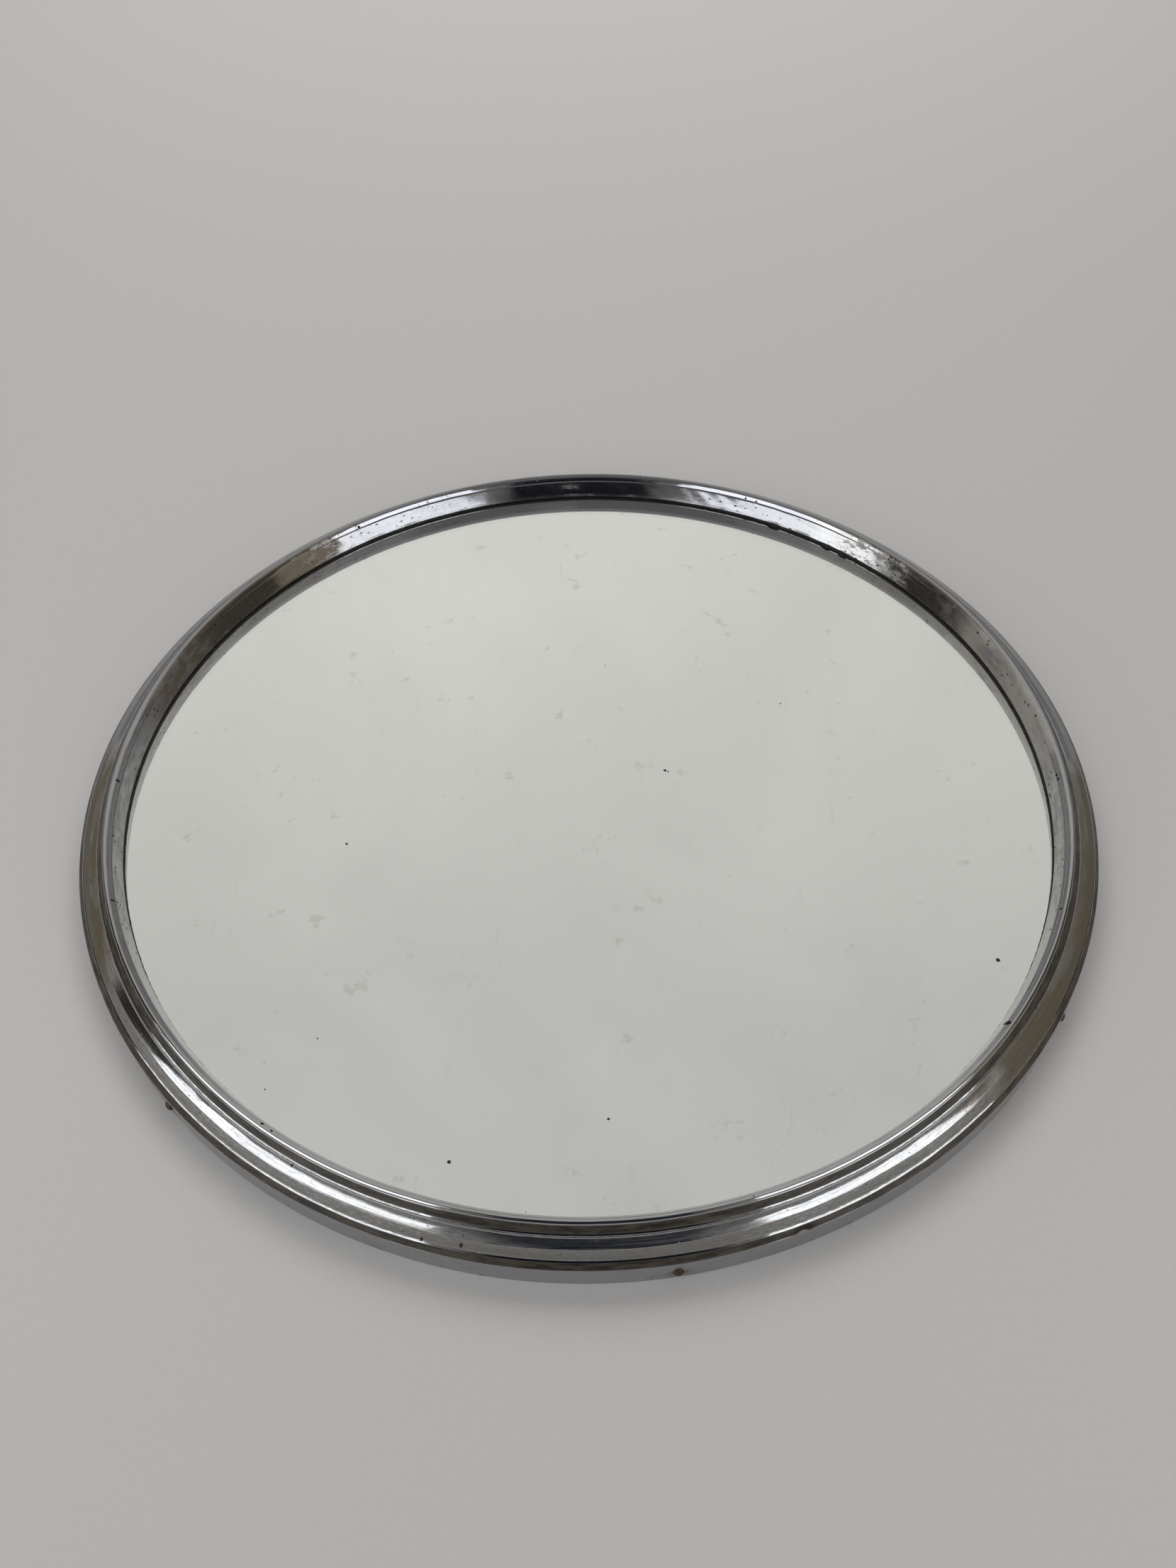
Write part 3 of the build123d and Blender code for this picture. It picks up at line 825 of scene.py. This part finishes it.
def floor():
    made, tree = material("pale_floor")
    grain = tree.noise(tree.place(), 400.0, 3.0)
    surface(tree, tree.mix(grain, (0.384, 0.376, 0.370), (0.413, 0.403, 0.397)), 0.9,
            tree.bump(grain, 0.05 * MM), Specular_IOR_Level=0.2)
    mesh = bpy.data.meshes.new("floor")
    half = 4.0
    corners = [(-half, -half, 0), (half, -half, 0), (half, half, 0), (-half, half, 0)]
    mesh.from_pydata(corners, [], [(0, 1, 2, 3)])
    mesh.materials.append(made)
    piece = bpy.data.objects.new("floor", mesh)
    piece.location.z = -0.05 * MM
    bpy.context.collection.objects.link(piece)


def surroundings():
    """What the ring and the glass reflect, by direction.

    Pale cloth lies towards +Y, darker low down on both sides of the middle. The rest is a dim
    brown room, greyer towards the camera and overhead. The camera itself sees plain grey.
    """
    world = bpy.data.worlds.new("studio")
    world.use_nodes = True
    bpy.context.scene.world = world
    tree = Nodes(world.node_tree)
    way = tree.node("ShaderNodeTexCoord").outputs["Generated"]
    x, y, z = tree.split(tree.vector("NORMALIZE", way))
    flat = tree.maths("SQRT", tree.maths("SUBTRACT", 1.0, tree.maths("MULTIPLY", z, z)))
    flat = tree.maths("MAXIMUM", flat, 0.001)
    aside = tree.maths("ABSOLUTE", x)
    ahead = tree.maths("DIVIDE", y, flat)
    overhead = tree.step(z, 0.70, 0.88)

    low_aside = tree.both(
        tree.step(tree.maths("DIVIDE", aside, flat), 0.10, 0.30),
        tree.step(z, 0.38, 0.52, 1.0, 0.0),
    )
    cloth = tree.mix(tree.step(z, 0.58, 1.0), (0.70, 0.69, 0.665), (0.52, 0.515, 0.50))
    cloth = tree.mix(low_aside, cloth, (0.30, 0.30, 0.31))
    cloth = tree.mix(tree.step(x, -0.35, 0.45), cloth, tree.scaled(cloth, 0.95))
    cloth = tree.mix(tree.step(aside, 0.05, 0.40), cloth, tree.scaled(cloth, 0.92))
    folds = tree.noise(way, 4.0, 3.0, 0.55, 0.5)
    cloth = tree.scaled(cloth, tree.step(folds, 0.35, 0.65, 0.96, 1.03))

    front = tree.step(ahead, -0.75, -0.40, 1.0, 0.0)
    room = tree.mix(front, (0.15, 0.118, 0.085), (0.27, 0.255, 0.24))
    ceiling = tree.mix(front, (0.36, 0.355, 0.35), (0.24, 0.235, 0.23))
    room = tree.mix(overhead, room, ceiling)

    colour = tree.mix(tree.step(ahead, 0.40, 0.62), room, cloth)
    seen = tree.node("ShaderNodeLightPath").outputs["Is Camera Ray"]
    colour = tree.mix(seen, colour, (0.62, 0.61, 0.60))
    back = tree.node("ShaderNodeBackground", {"Color": colour, "Strength": 1.0})
    tree.node("ShaderNodeOutputWorld", {"Surface": back.outputs[0]})


def softbox(side, width):
    """Tall softbox beyond the near edge, to one side of it, leaning outwards and over the mirror."""
    height = 0.92
    lamp = bpy.data.lights.new(f"softbox_{side}", "AREA")
    lamp.shape = "RECTANGLE"
    lamp.size = width
    lamp.size_y = height
    lamp.energy = 7.0 * width
    lamp.color = (0.94, 0.97, 1.0)
    piece = bpy.data.objects.new(lamp.name, lamp)
    across = Vector((side * 0.707, 0.707, 0.0))
    foot = Vector((side * 0.34, -0.75, 0.17)) + 0.5 * width * across
    up = Vector((side * 0.10, 0.11, 0.98)).normalized()
    out = across.cross(up).normalized() * side
    turn = Matrix((up.cross(out), up, out)).transposed()
    piece.matrix_world = Matrix.Translation(foot + 0.5 * height * up) @ turn.to_4x4()
    piece.visible_camera = False
    bpy.context.collection.objects.link(piece)


def far_fill():
    """Lamp over the far floor, seen in no reflection, so that the floor is as bright there as near by."""
    lamp = bpy.data.lights.new("far_fill", "AREA")
    lamp.size = 2.0
    lamp.energy = 39.0
    piece = bpy.data.objects.new("far_fill", lamp)
    piece.location = (0.0, 1.6, 1.6)
    piece.visible_camera = False
    piece.visible_glossy = False
    piece.visible_transmission = False
    bpy.context.collection.objects.link(piece)


def card(name, colour, corner, width, height, edge):
    """Soft-edged card that only reflections see."""
    made, tree = material(name)
    across, up, _ = tree.split(tree.node("ShaderNodeUVMap").outputs["UV"])
    wide = tree.step(tree.maths("PINGPONG", across, 0.5), 0.0, edge)
    soft = tree.maths("MULTIPLY", wide, tree.step(tree.maths("PINGPONG", up, 0.5), 0.0, edge))
    dark = tree.node("ShaderNodeEmission", {"Color": (*colour, 1.0)})
    clear = tree.node("ShaderNodeBsdfTransparent")
    mixed = tree.node("ShaderNodeMixShader", {0: soft, 1: clear.outputs[0], 2: dark.outputs[0]})
    tree.node("ShaderNodeOutputMaterial", {"Surface": mixed.outputs[0]})
    corner, width, height = Vector(corner), Vector(width), Vector(height)
    mesh = bpy.data.meshes.new(name)
    spots = [corner, corner + width, corner + width + height, corner + height]
    mesh.from_pydata([tuple(spot) for spot in spots], [], [(0, 1, 2, 3)])
    mesh.uv_layers.new().data.foreach_set("uv", (0, 0, 1, 0, 1, 1, 0, 1))
    mesh.materials.append(made)
    piece = bpy.data.objects.new(name, mesh)
    piece.visible_camera = piece.visible_diffuse = piece.visible_shadow = False
    bpy.context.collection.objects.link(piece)


def camera():
    """Camera held above and a little outside the near edge, looking down across the mirror."""
    lens = bpy.data.cameras.new("camera")
    lens.sensor_width = 36.0
    lens.lens = 27.71
    lens.clip_start = 0.01
    piece = bpy.data.objects.new("camera", lens)
    piece.location = (0.0, -0.3629, 0.4284)
    pitch = math.radians(49.66)
    yaw = math.radians(0.07)
    roll = math.radians(-1.29)
    aim = Vector((math.sin(yaw) * math.cos(pitch), math.cos(yaw) * math.cos(pitch), -math.sin(pitch)))
    piece.rotation_mode = "QUATERNION"
    piece.rotation_quaternion = aim.to_track_quat("-Z", "Y") @ Quaternion((0, 0, 1), roll)
    bpy.context.collection.objects.link(piece)
    bpy.context.scene.camera = piece


chrome_ring()
mastic_bead()
silver_layer()
floor()
surroundings()
softbox(-1, 0.80)
softbox(1, 0.54)
far_fill()
for row in CARDS:
    card(*row)
camera()
bpy.context.scene.view_settings.view_transform = "Standard"
